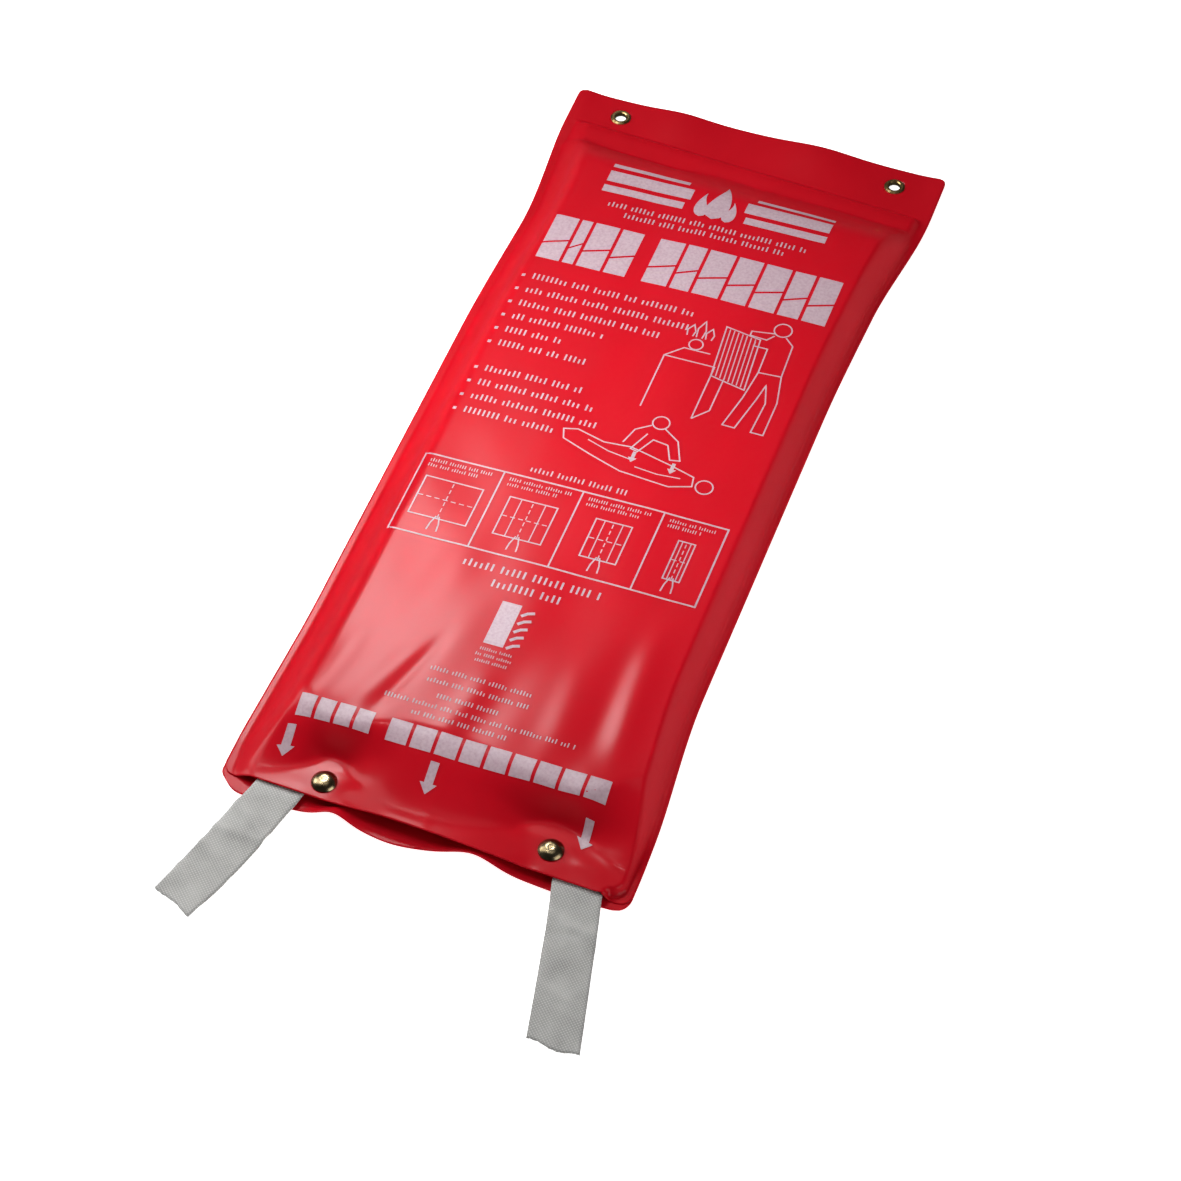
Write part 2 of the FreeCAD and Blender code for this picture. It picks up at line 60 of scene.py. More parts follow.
def node_box(name):
    """Lowest and highest corner of a CAD node, in millimetres."""
    low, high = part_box(name)
    return np.array(low) / MM, np.array(high) / MM


def node_centre(name):
    low, high = node_box(name)
    return (low + high) / 2


BACK_HIGH = node_box("back_panel")[1]
LIP_LOW, LIP_HIGH = node_box("front_lip")
PANEL_LOW, PANEL_HIGH = node_box("front_panel")
PACK_LOW, PACK_HIGH = node_box("folded_blanket")
SHEET = 0.5                                   # thickness of the vinyl
TOP_Y = BACK_HIGH[1]
HEADER_Y = node_box("header_band")[0][1]      # lower edge of the welded header
MOUTH_Y = LIP_LOW[1]                          # lower edge of the lip
FOLD_Y = (PANEL_LOW[1] + LIP_HIGH[1]) / 2     # where the lip lifts from
CROWN_Z = PANEL_HIGH[2]                       # top of the filled pouch
LIP_TOP = LIP_LOW[2] + SHEET                  # top of the lip under the caps
END_TOP = BACK_HIGH[2] + SHEET                # top of the vinyl in the header
HEADER_HALF = BACK_HIGH[0]
WAIST_HALF = HEADER_HALF - 6.5
BOTTOM_HALF = HEADER_HALF - 2.0
SEAM = 4.0                                    # welded flange along the sides
TOP_CORNER = 4.0                              # corner radii of the sheets
MOUTH_CORNER = 7.0
LEFT_MARGIN = 17.5                            # width over which the left side rises, gently
RIGHT_MARGIN = 6.0                            # and the right side, steeply: the pack lies nearer to it
WALL_HEIGHT = 23.0                            # how far a side has risen at its margin
SEAM_LIFT = 4.0                               # how far the right seam's inner edge is off the floor
CROWN_HALF = 88.0                             # half the width of the pack's top
NECK_Y = 140.0                                # the sides are straight below this
SNAPS = [node_centre(side + "_snap_cap")[:2] for side in ("left", "right")]
EYELETS = [node_centre(side + "_eyelet")[:2] for side in ("left", "right")]
EYELET_HOLE = 3.8                             # radius of the hole in the vinyl


# ---------------------------------------------------------------- small formulas

def ease(start, end, t):
    """0 at start, 1 at end, level at both."""
    s = np.clip((np.asarray(t, float) - start) / (end - start), 0, 1)
    return s * s * (3 - 2 * s)


def bump(t, centre, width):
    return np.exp(-((np.asarray(t, float) - centre) / width) ** 2)


def smooth_min(a, b, radius):
    h = np.clip(0.5 + 0.5 * (b - a) / radius, 0, 1)
    return b + (a - b) * h - radius * h * (1 - h)


def waves(x, y, seed, length_x, length_y):
    """Smooth seeded unevenness between about -1 and 1, with its own length along x and along y."""
    rng = np.random.default_rng(seed)
    total = np.zeros(np.broadcast(x, y).shape)
    size = 1.0
    for octave in range(3):
        for _ in range(3):
            turn = rng.uniform(-0.5, 0.5)
            phase = rng.uniform(0, 2 * math.pi, 2)
            along = x / length_x * math.cos(turn) + y / length_y * math.sin(turn)
            across = y / length_y * math.cos(turn) - x / length_x * math.sin(turn)
            scale = 2 * math.pi * 1.7 ** octave
            total += size * np.sin(along * scale + phase[0]) * np.sin(across * scale + phase[1])
        size *= 0.5
    return total / 3


def from_any(points, x, y):
    """Distance to the nearest of some points."""
    return np.min([np.hypot(x - px, y - py) for px, py in points], axis=0)


# ---------------------------------------------------------------- shape of the pouch

def half_width(y):
    """From the middle line of the pouch to its edge, with rounded corners at both ends."""
    y = np.asarray(y, float)
    half = (WAIST_HALF + (HEADER_HALF - WAIST_HALF) * ease(NECK_Y, HEADER_Y, y)
            + (BOTTOM_HALF - WAIST_HALF) * ease(FOLD_Y, -230, y))
    for edge, way, radius in ((TOP_Y, 1, TOP_CORNER), (MOUTH_Y, -1, MOUTH_CORNER)):
        past = np.clip((y - edge) * way + radius, 0, radius)
        half = half - (radius - np.sqrt(radius ** 2 - past ** 2))
    return half


def bow(y):
    """The soft pouch doesn't lie quite straight: how far its middle is to the side."""
    return -1.3 - 4.2 * ease(200, 60, y) + 2.3 * ease(-120, -240, y)


def header_line(x):
    """The weld under the header runs slightly downhill to the right."""
    return 221.5 - 0.05 * x


def header_lift(x, y):
    """The header curls off the floor between the eyelets and at its corners."""
    height = 2.0 * bump(x, -46, 17) + 2.6 * bump(x, 34, 22) + 1.3 * bump(x, -105, 9) + 1.2 * bump(x, 105, 9)
    return height * ease(HEADER_Y - 12, TOP_Y, y) * ease(6, 14, from_any(EYELETS, x, y))


def seam_lift(x, y):
    """The full pouch pulls the inner edge of its right seam off the floor."""
    inside = half_width(y) - SEAM - (x - bow(y))
    height = SEAM_LIFT * ease(215, 175, y) * ease(-240, -205, y)
    return height * ease(-SEAM, 0.5, inside) * (1 - ease(0.5, 9, inside))


def back_top(x, y):
    """Upper face of the back sheet inside the pouch."""
    rise = BACK_HIGH[2] - SHEET
    return SHEET + rise * (ease(199, 224, y) + ease(-196, -229, y)) + header_lift(x, y) + seam_lift(x, y)


def pinch(x):
    """How steeply the front drops to the mouth: 1 at the studs, less at the middle and at the seams."""
    left, right = SNAPS[0][0], SNAPS[1][0]
    return np.where(x < 0, bump(x, left, 21), bump(x, right, np.where(x < right, 33, 28)))


def slack(x):
    """How loose the lip's edge is: 0 at the studs and beyond them, 1 at the middle of the mouth."""
    left, right = SNAPS[0][0], SNAPS[1][0]
    return 1 - np.where(x < 0, bump(np.maximum(x, left), left, 21), bump(np.minimum(x, right), right, 33))


def crease(x, y, start, end, depth, width):
    """A soft groove along a line, or a ridge where the depth is negative."""
    (x0, y0), (x1, y1) = start, end
    length = math.hypot(x1 - x0, y1 - y0)
    along = ((x - x0) * (x1 - x0) + (y - y0) * (y1 - y0)) / length
    off = ((x - x0) * (y1 - y0) - (y - y0) * (x1 - x0)) / length
    fade = ease(0, length * 0.35, along) * (1 - ease(length * 0.65, length, along))
    return -depth * fade * np.exp(-(off / width) ** 2)


CREASES = [    # start, end, depth, width
    ((-26, -140), (-50, -216), 0.3, 3.2),
    ((-36, -150), (-60, -214), -0.35, 6.0),
    ((-66, -150), (-80, -224), -0.3, 6.0),
    ((2, -160), (-14, -224), -0.4, 7.0),
    ((54, -110), (58, -212), 0.45, 7.0),
    ((66, -100), (74, -218), -0.55, 6.5),
    ((38, -130), (42, -214), -0.3, 8.0),
    ((-98, 211), (-10, 203), 1.7, 5.5),
    ((36, 204), (88, 194), -0.7, 5.0),
]
DENTS = [      # the hollows above the studs: x, y, width, height, depth
    (-56, -222, 19, 6.5, 4.0),
    (50, -223, 28, 7.0, 5.0),
]


def folds_from_studs(x, y):
    """Little folds that fan out from each stud, where it pulls the lip down."""
    total = 0.0
    for index, (sx, sy) in enumerate(SNAPS):
        far = np.hypot(x - sx, y - sy)
        turn = np.arctan2(y - sy, x - sx)
        fan = np.cos(turn * 5 + index * 1.3) * 0.6 + np.cos(turn * 8 + index) * 0.3
        total = total + fan * ease(8, 17, far) * (1 - ease(20, 48, far))
    return total * (1 - ease(-214, -190, y))


def crown_height(x, y, across):
    """Top of the full pouch, which slopes down to the header."""
    crown = CROWN_Z + 1.1 * (1 - (across / CROWN_HALF) ** 2) * ease(210, 120, y) * ease(-235, -150, y)
    crown = crown + 0.5 * waves(x, y, 3, 92, 210) * (1 - ease(60, CROWN_HALF, np.abs(across)))
    foot = 216 - 0.04 * x
    shoulder = ease(foot, foot - 42, y) ** 0.85
    return END_TOP + 0.8 + (crown - END_TOP - 0.8) * shoulder


def drop_to_mouth(crown, x, y, across):
    """Brings the top down to the lip, steeply at the studs."""
    held = pinch(x)
    low = LIP_TOP + 3.6 * slack(x)
    start = -202 - 12 * held + 12 * ease(66, 92, np.abs(across))
    end = -248 + 20 * held
    return crown + (low - crown) * ease(start, end, y)


def crumple(top, x, y, inside):
    """Adds the creases, folds and hollows, and keeps the vinyl above the lip that it stands for."""
    quiet = ease(0, 16, inside) * ease(7, 14, from_any(SNAPS, x, y))
    for start, end, depth, width in CREASES:
        top = top + quiet * crease(x, y, start, end, depth, width)
    top = top + quiet * 0.5 * folds_from_studs(x, y)
    for dent_x, dent_y, wide, tall, deep in DENTS:
        top = top - deep * bump(x, dent_x, wide) * bump(y, dent_y, tall)
    return -smooth_min(-top, -(LIP_TOP - 0.1), 0.8)


def side_rise(x, y, across, inside):
    """How far the sides have risen above the back sheet."""
    inward = np.maximum(inside, 0)
    rise = WALL_HEIGHT * np.where(across < 0, (inward / LEFT_MARGIN) ** 1.5, inward / RIGHT_MARGIN)
    return rise + 0.25 * waves(x, y, 5, 60, 70) * ease(0, 6, inside)


def front_height(x, y):
    """Upper face of the front sheet: a crowned pillow that drops to the header, the seams and the mouth."""
    x = np.asarray(x, float)
    y = np.asarray(y, float)
    floor = back_top(x, y) + SHEET
    across = x - bow(y)
    inside = half_width(y) - SEAM - np.abs(across)
    top = crumple(drop_to_mouth(crown_height(x, y, across), x, y, across), x, y, inside)
    roundness = np.where(across < 0, 9.0, 5.0 + 7 * ease(150, 205, y))
    body = smooth_min(top, floor + side_rise(x, y, across, inside), roundness)
    weld = header_line(x)
    ridge = 0.55 * bump(y, weld, 1.1) - 0.35 * bump(y, weld - 3.4, 2.2)
    closed = ease(weld - 3, weld + 1, y)
    shown = np.maximum(body * (1 - closed) + floor * closed, floor)
    return shown + ridge * ease(2, 14, inside + SEAM)


def mouth_curl(x, y):
    """The free edge of the back sheet curls up between the tapes."""
    curl = 5.0 * bump(x, -47, 9) + 5.3 * bump(x, 24, 14)
    return curl * ease(-236, -256, y) * ease(7, 16, from_any(SNAPS, x, y))


def back_edge(x):
    """Where the back sheet ends, a little beyond the lip."""
    return (-255.5 + 2.0 * bump(x, -47, 12) - 2.2 * bump(x, -16, 15) + 2.6 * bump(x, 22, 15)
            - 2.2 * bump(x, 80, 28) + 5.0 * bump(x, -105, 6) + 3.0 * bump(x, 106, 4))


def lip_edge(x):
    """Where the front sheet ends."""
    return MOUTH_Y - 0.4 - 0.033 * x


# ---------------------------------------------------------------- meshes

def new_mesh(name, points, faces, material):
    """A smooth-shaded mesh object from points in millimetres."""
    mesh = bpy.data.meshes.new(name)
    mesh.from_pydata([tuple(p) for p in np.asarray(points, float) * MM], [], faces)
    mesh.update()
    mesh.shade_smooth()
    obj = bpy.data.objects.new(name, mesh)
    bpy.context.scene.collection.objects.link(obj)
    obj.data.materials.append(material)
    return obj


def use_modifiers(obj):
    """Applies the modifiers, so that only the mesh is left."""
    bpy.context.view_layer.update()
    graph = bpy.context.evaluated_depsgraph_get()
    mesh = bpy.data.meshes.new_from_object(obj.evaluated_get(graph))
    obj.modifiers.clear()
    obj.data = mesh
    return obj


def thicken(obj, thickness, offset=-1.0):
    modifier = obj.modifiers.new("thick", "SOLIDIFY")
    modifier.thickness = thickness * MM
    modifier.offset = offset
    modifier.use_even_offset = False
    return use_modifiers(obj)


def grid_faces(rows, columns, skip=None):
    faces = []
    for i in range(rows - 1):
        for j in range(columns - 1):
            corner = i * columns + j
            face = (corner, corner + 1, corner + columns + 1, corner + columns)
            if skip is None or not any(skip[k] for k in face):
                faces.append(face)
    return faces


def drop_unused(points, faces):
    """Leaves out the points that no face uses."""
    used = sorted({k for face in faces for k in face})
    place = {old: new for new, old in enumerate(used)}
    return points[used], [tuple(place[k] for k in face) for face in faces]


def steps(*stops):
    """Values from stop to stop: (value, step to the next value), ..., last value."""
    out = []
    for (a, step), nxt in zip(stops[:-1], stops[1:]):
        b = nxt[0]
        count = max(1, round(abs(b - a) / step))
        out += list(np.linspace(a, b, count, endpoint=False))
    return np.array(out + [stops[-1][0]])


COLUMNS = steps((-1, 0.009), (-0.8, 0.022), (0.8, 0.009), (1, 0)) * WAIST_HALF
ROWS = steps((TOP_Y, 0.8), (TOP_Y - 3, 1.9), (231, 0.8), (190, 2.4), (-192, 1.3), (MOUTH_Y + 3, 0.7),
             (MOUTH_Y, 0))


def sheet_grid(height, edge):
    """Points of a sheet, row by row from the header down to the mouth."""
    y = np.repeat(ROWS[:, None], len(COLUMNS), 1)
    x = COLUMNS[None, :] / WAIST_HALF * half_width(y) + bow(y)
    y = y + (edge(x) - MOUTH_Y) * ease(-205, MOUTH_Y, y)
    return np.stack([x, y, height(x, y)], axis=-1)


def open_eyelets(grid):
    """Pushes the vinyl away from the eyelets and says which points fall inside them."""
    inside = np.zeros(grid.shape[:2], bool)
    reach = 10.0    # points beyond this stay
    hub = 1.7       # points nearer than this are left out
    for ex, ey in EYELETS:
        dx, dy = grid[..., 0] - ex, grid[..., 1] - ey
        far = np.hypot(dx, dy)
        near = far < reach
        inside |= far < hub
        moved = EYELET_HOLE + np.maximum(far - hub, 0) * (reach - EYELET_HOLE) / (reach - hub)
        factor = np.where(near & (far > 0), moved / np.maximum(far, 1e-6), 1)
        grid[..., 0] = ex + dx * factor
        grid[..., 1] = ey + dy * factor
    return inside.ravel()


def sheet_object(name, height, edge, material):
    """A vinyl sheet with its eyelet holes, and the grid of points it was made from."""
    grid = sheet_grid(height, edge)
    inside = open_eyelets(grid)
    faces = grid_faces(len(ROWS), len(COLUMNS), inside)
    faces = [face[::-1] for face in faces]
    points, faces = drop_unused(grid.reshape(-1, 3), faces)
    obj = new_mesh(name, points, faces, material)
    return thicken(obj, SHEET), grid


def follow_lip(obj):
    """Bakes the object's place into its mesh points."""
    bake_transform(obj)
    return obj


# ---------------------------------------------------------------- materials

def srgb(r, g, b):
    """A colour given as 0 to 255 screen values."""
    def linear(c):
        c = c / 255
        return c / 12.92 if c <= 0.04045 else ((c + 0.055) / 1.055) ** 2.4
    return (linear(r), linear(g), linear(b), 1.0)


class Material:
    """A Principled material with a few helpers for its nodes."""

    def __init__(self, name, **sockets):
        self.data = bpy.data.materials.new(name)
        self.data.use_nodes = True
        self.tree = self.data.node_tree
        self.shader = self.tree.nodes["Principled BSDF"]
        self.space = self.add("ShaderNodeTexCoord").outputs["Object"]
        for socket, value in sockets.items():
            self.shader.inputs[socket.replace("_", " ")].default_value = value

    def add(self, kind, **inputs):
        node = self.tree.nodes.new(kind)
        for socket, value in inputs.items():
            self.put(node, socket.replace("_", " "), value)
        return node

    def put(self, node, socket, value):
        if isinstance(value, bpy.types.NodeSocket):
            self.tree.links.new(value, node.inputs[socket])
        else:
            node.inputs[socket].default_value = value

    def noise(self, scale, detail=3.0, stretch=(1, 1, 1), roughness=0.5):
        mapping = self.add("ShaderNodeMapping", Vector=self.space, Scale=stretch)
        node = self.add("ShaderNodeTexNoise", Vector=mapping.outputs[0], Scale=scale, Detail=detail,
                        Roughness=roughness)
        return node.outputs[0]

    def bands(self, scale, direction, turn=0.0):
        """Fine parallel ribs, for a weave."""
        mapping = self.add("ShaderNodeMapping", Vector=self.space, Rotation=(0, 0, turn))
        node = self.add("ShaderNodeTexWave", Vector=mapping.outputs[0], Scale=scale, Distortion=0.6)
        node.inputs["Detail Scale"].default_value = 3.0
        node.bands_direction = direction
        return node.outputs[1]

    def spread(self, value, low, high):
        """A 0 to 1 value spread between two numbers."""
        node = self.add("ShaderNodeMapRange", Value=value)
        node.inputs["To Min"].default_value = low
        node.inputs["To Max"].default_value = high
        return node.outputs[0]

    def shades(self, value, *colours):
        """Colours along a 0 to 1 value: (place, colour), ..."""
        node = self.add("ShaderNodeValToRGB", Fac=value)
        ramp = node.color_ramp
        while len(ramp.elements) < len(colours):
            ramp.elements.new(0.5)
        for element, (place, colour) in zip(ramp.elements, colours):
            element.position = place
            element.color = colour
        return node.outputs[0]

    def product(self, a, b):
        node = self.add("ShaderNodeMath")
        node.operation = "MULTIPLY"
        self.put(node, 0, a)
        self.put(node, 1, b)
        return node.outputs[0]

    def colour(self, value):
        self.tree.links.new(value, self.shader.inputs["Base Color"])

    def roughness(self, value):
        self.tree.links.new(value, self.shader.inputs["Roughness"])

    def bumps(self, *layers):
        """Bump layers, (height, distance in millimetres, strength), one over the other."""
        normal = None
        for height, distance, strength in layers:
            node = self.add("ShaderNodeBump", Height=height, Distance=distance * MM, Strength=strength)
            if normal is not None:
                self.tree.links.new(normal, node.inputs["Normal"])
            normal = node.outputs[0]
        self.tree.links.new(normal, self.shader.inputs["Normal"])


def make_vinyl():
    m = Material("red_vinyl", IOR=1.45, Specular_IOR_Level=0.14, Coat_Weight=0.2, Coat_Roughness=0.19,
                 Coat_IOR=1.5, Specular_Tint=(1, 0.2, 0.2, 1))
    m.colour(m.shades(m.noise(14, 4, (1, 0.5, 1)), (0.25, srgb(188, 9, 26)), (0.55, srgb(198, 11, 29)),
                      (0.85, srgb(206, 16, 35))))
    m.roughness(m.spread(m.noise(55, 5), 0.42, 0.55))
    m.bumps((m.noise(38, 3, (1, 0.55, 1)), 0.5, 0.35), (m.noise(1500, 2), 0.03, 0.35))
    return m.data


def make_ink():
    m = Material("white_ink", IOR=1.5, Coat_Weight=0.25, Coat_Roughness=0.25)
    m.colour(m.shades(m.noise(700, 3), (0.3, srgb(180, 150, 160)), (0.5, srgb(190, 162, 172)),
                      (0.8, srgb(200, 175, 184))))
    m.roughness(m.spread(m.noise(300, 3), 0.4, 0.55))
    m.bumps((m.noise(900, 2), 0.03, 0.3))
    return m.data


def wave_scale(period):
    """The scale that gives a wave texture's bands this period, in millimetres."""
    return 2 * math.pi / (20 * period * MM)


def make_tape():
    m = Material("woven_tape", Roughness=0.86, Sheen_Weight=0.15)
    weft = m.bands(wave_scale(1.25), "X", math.radians(45))
    warp = m.bands(wave_scale(1.25), "Y", math.radians(45))
    weave = m.product(weft, warp)
    tone = m.noise(60, 4)
    mixed = m.add("ShaderNodeMath")
    mixed.operation = "MULTIPLY_ADD"
    m.put(mixed, 0, weave)
    m.put(mixed, 1, 0.55)
    m.put(mixed, 2, m.product(tone, 0.55))
    m.colour(m.shades(mixed.outputs[0], (0.12, srgb(150, 149, 147)), (0.4, srgb(192, 191, 188)),
                      (0.8, srgb(219, 218, 215))))
    m.bumps((m.noise(90, 3), 0.4, 0.3), (weave, 0.12, 0.8))
    return m.data


def make_glass_cloth():
    m = Material("glass_cloth", Roughness=0.8, Sheen_Weight=0.2)
    weave = m.product(m.bands(wave_scale(1.1), "X"), m.bands(wave_scale(1.1), "Y"))
    m.colour(m.shades(m.noise(80, 4), (0.3, srgb(214, 210, 198)), (0.7, srgb(234, 231, 222))))
    m.bumps((m.noise(120, 3), 0.5, 0.3), (weave, 0.12, 0.6))
    return m.data


def make_metal(name, dark, bright, scratch, worn):
    """Plated metal; scratch is how strong its bumps are and worn is its least roughness."""
    m = Material(name, Metallic=1.0)
    m.colour(m.shades(m.noise(260, 5), (0.3, dark), (0.65, bright)))
    m.roughness(m.spread(m.noise(160, 4), worn, worn + 0.12))
    m.bumps((m.noise(1400, 3, (1, 1, 3)), 0.01, scratch))
    return m.data


def make_thread():
    m = Material("thread", Roughness=0.7, Sheen_Weight=0.3)
    m.colour(m.shades(m.noise(900, 2), (0.3, srgb(196, 194, 188)), (0.7, srgb(226, 224, 218))))
    m.bumps((m.bands(wave_scale(0.5), "DIAGONAL"), 0.1, 0.8))
    return m.data


def make_floor():
    m = Material("floor", Roughness=0.9, Emission_Color=(1, 1, 1, 1), Emission_Strength=0.95)
    m.colour(m.shades(m.noise(3, 2), (0.3, (0.90, 0.90, 0.90, 1)), (0.7, (0.93, 0.93, 0.93, 1))))
    return m.data


VINYL = make_vinyl()
INK = make_ink()
TAPE = make_tape()
CLOTH = make_glass_cloth()
THREAD = make_thread()
BRASS = make_metal("eyelet_brass", srgb(150, 118, 66), srgb(206, 178, 124), 0.3, 0.22)
NICKEL = make_metal("snap_metal", srgb(98, 84, 58), srgb(150, 134, 104), 0.3, 0.2)


# ---------------------------------------------------------------- the vinyl pouch

def back_height(x, y):
    return back_top(x, y) + mouth_curl(x, y)


front, FRONT_GRID = sheet_object("front_sheet", front_height, lip_edge, VINYL)
back, _ = sheet_object("back_sheet", back_height, back_edge, VINYL)
follow_lip(front)
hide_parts("header_band", "front_panel", "front_lip", "left_side_panel", "right_side_panel")
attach(back, "pouch")
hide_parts("back_panel")


# ---------------------------------------------------------------- the print on the front

INK_GAP = 0.2                                    # how far the ink's surface stands off the vinyl
STROKE = 0.7                                     # line width of the drawings
PRINT_TILT = 0.024                               # the print runs slightly uphill to the right
FINE = 2.0                                       # longest step of an ink mesh, so that it follows the vinyl


def sheet_lookup():
    """For placing print: how far up the flat sheet each grid point lies, and the sheet's normals."""
    grid = FRONT_GRID
    steps_down = np.linalg.norm(np.diff(grid, axis=0), axis=2)
    down = np.vstack([np.zeros(grid.shape[1]), np.cumsum(steps_down, axis=0)])
    middle = int(np.argmin(np.abs(ROWS)))
    along = down[middle] - down + grid[middle, :, 1]
    slope_y = np.gradient(grid, axis=0)
    slope_x = np.gradient(grid, axis=1)
    normal = np.cross(slope_y, slope_x)
    normal *= np.sign(normal[..., 2:])
    return along, normal / np.linalg.norm(normal, axis=2, keepdims=True)


SHEET_ALONG, SHEET_NORMAL = sheet_lookup()


def on_sheet(flat):
    """Points given as (x, distance up the flat sheet) laid on the front of the pouch."""
    flat = np.array(flat, float)
    flat[:, 1] += PRINT_TILT * flat[:, 0] * ease(-230, -60, flat[:, 1])
    columns = FRONT_GRID.shape[1]
    share_out = (flat[:, 0] - bow(flat[:, 1])) / half_width(flat[:, 1])
    place = np.interp(share_out, COLUMNS / WAIST_HALF, np.arange(columns))
    first = np.clip(place.astype(int), 0, columns - 2)
    share = (place - first)[:, None]
    surface = FRONT_GRID + SHEET_NORMAL * INK_GAP
    ends = []
    for side in (0, 1):
        out = np.zeros((len(flat), 3))
        for column in np.unique(first + side):
            chosen = first + side == column
            up = SHEET_ALONG[::-1, column]
            rows = np.interp(flat[chosen, 1], up, np.arange(len(up)))
            for k in range(3):
                out[chosen, k] = np.interp(rows, np.arange(len(up)), surface[::-1, column, k])
        ends.append(out)
    return ends[0] * (1 - share) + ends[1] * share


class Print:
    """One group of printed shapes, made flat and then laid on the vinyl."""

    def __init__(self):
        self.points = []
        self.faces = []

    def quads(self, rows):
        """Rows of points with the same number in each."""
        start = len(self.points)
        width = len(rows[0])
        for row in rows:
            self.points += list(row)
        self.faces += [tuple(start + k for k in face) for face in grid_faces(len(rows), width)]

    def block(self, x0, x1, y0, y1):
        """A filled rectangle."""
        across = max(1, math.ceil((x1 - x0) / FINE)) + 1
        up = max(1, math.ceil(abs(y1 - y0) / FINE)) + 1
        rows = []
        for v in np.linspace(0, 1, up):
            y = y0 + (y1 - y0) * v
            rows.append([(x, y) for x in np.linspace(x0, x1, across)])
        self.quads(rows)

    def cut_block(self, x0, x1, y0, y1, low, high):
        """A block with a thin slanted gap across it, from one height at its left to another at its right."""
        across = max(1, math.ceil((x1 - x0) / FINE)) + 1
        gap = 0.7
        for upper in (False, True):
            rows = []
            for v in np.linspace(0, 1, 10):
                row = []
                for x in np.linspace(x0, x1, across):
                    split = low + (high - low) * (x - x0) / (x1 - x0)
                    a, b = (split + gap, y1) if upper else (y0, split - gap)
                    row.append((x, a + (b - a) * v))
                rows.append(row)
            self.quads(rows)

    def line(self, points, width=STROKE, closed=False):
        """A stroke with mitred corners through some points."""
        points = [np.array(p, float) for p in points]
        if closed:
            points.append(points[0])
        fine = []
        for a, b in zip(points[:-1], points[1:]):
            count = max(1, math.ceil(np.linalg.norm(b - a) / FINE))
            fine += [a + (b - a) * k / count for k in range(count)]
        fine.append(points[-1])
        rows = []
        last = len(fine) - 1
        for k, p in enumerate(fine):
            before = fine[last - 1] if closed and k == 0 else fine[max(k - 1, 0)]
            after = fine[1] if closed and k == last else fine[min(k + 1, last)]
            first, second = p - before, after - p
            first = second if not first.any() else first
            second = first if not second.any() else second
            first = first / np.linalg.norm(first)
            second = second / np.linalg.norm(second)
            middle = first + second
            middle = middle / max(np.linalg.norm(middle), 1e-6)
            side = np.array([-middle[1], middle[0]])
            stretch = min(2.0, 1 / max(0.3, float(middle @ second)))
            rows.append([tuple(p + side * width / 2 * stretch), tuple(p - side * width / 2 * stretch)])
        self.quads(rows)

    def dashes(self, a, b, width=0.5, dash=2.4):
        a, b = np.array(a, float), np.array(b, float)
        count = max(1, int(np.linalg.norm(b - a) / (dash * 1.7)))
        for k in range(count):
            self.line([a + (b - a) * (k + 0.1) / count, a + (b - a) * (k + 0.7) / count], width)

    def ring(self, x, y, radius, width=STROKE):
        turns = np.linspace(0, 2 * math.pi, 20, endpoint=False)
        self.line([(x + radius * math.cos(t), y + radius * math.sin(t)) for t in turns], width, closed=True)

    def spine(self, middle, halves):
        """A filled shape given by its middle line and how far it reaches to each side of it."""
        rows = []
        for (x, y), half in zip(middle, halves):
            rows.append([(x + half * u, y) for u in np.linspace(-1, 1, 7)])
        self.quads(rows)

    def arrow(self, x, top, bottom, stem=4.4, head=8.6):
        """A filled arrow that points down to the mouth."""
        neck = bottom + head * 0.62
        self.block(x - stem / 2, x + stem / 2, neck, top)
        levels = np.linspace(neck, bottom, 5)
        halves = np.linspace(head / 2, 0.15, 5)
        self.spine([(x, y) for y in levels], halves)

    def words(self, x0, x1, y, height, seed):
        """A line of small upright ticks in groups, in place of words."""
        rng = np.random.default_rng(seed)
        pitch = height * 0.62
        x = x0
        while x < x1 - pitch * 0.4:
            for _ in range(rng.integers(3, 9)):
                if x > x1 - pitch * 0.4:
                    break
                tall = height * (1.0 if rng.uniform() < 0.6 else 0.72)
                self.block(x, x + pitch * 0.36, y - height / 2, y - height / 2 + tall)
                x += pitch
            x += pitch * 0.8

    def finish(self, name):
        """Lays the group on the vinyl, facing outward."""
        obj = new_mesh(name, on_sheet(self.points), [face[::-1] for face in self.faces], INK)
        if sum(polygon.normal.z for polygon in obj.data.polygons) < 0:
            obj.data.flip_normals()
        return follow_lip(obj)


def print_heading():
    """A plain flame between rules, with two lines of ticks below."""
    p = Print()
    heights = np.linspace(0, 1, 17)
    for lean, size, centre in ((3.4, 1.0, 0.0), (-2.2, 0.6, -7.0), (2.4, 0.52, 7.6)):
        middle = [(centre + lean * math.sin(t * 2.9) * t, 158 + 30 * size * t) for t in heights]
        halves = [6.6 * size * math.sin(math.pi * t ** 0.6) * (1 - t) ** 0.35 + 0.15 for t in heights]
        p.spine(middle, halves)
    for low, high, inner in ((160.5, 165.5, 17), (168.5, 176.5, 15), (179.5, 182.5, 19)):
        p.block(-62, -inner, low, high)
        p.block(inner, 62, low, high)
    p.words(-55, 55, 152.2, 3.6, 1)
    p.words(-44, 46, 146.2, 3.6, 2)
    return p.finish("print_heading")


def print_title():
    """Eleven tall blocks in two groups, in place of the title."""
    p = Print()
    widths = [13.0, 6.0, 13.5, 12.0, None, 14.0, 10.5, 14.5, 13.5, 14.0, 11.5, 13.0]
    gap, space = 1.9, 5.6
    total = sum(w or space for w in widths) + gap * (len(widths) - 1)
    x = -78.0
    scale = 158.0 / total
    for width in widths:
        wide = (width or space) * scale
        if width:
            p.cut_block(x, x + wide, 103, 136, 114, 119)
        x += wide + gap * scale
    return p.finish("print_title")


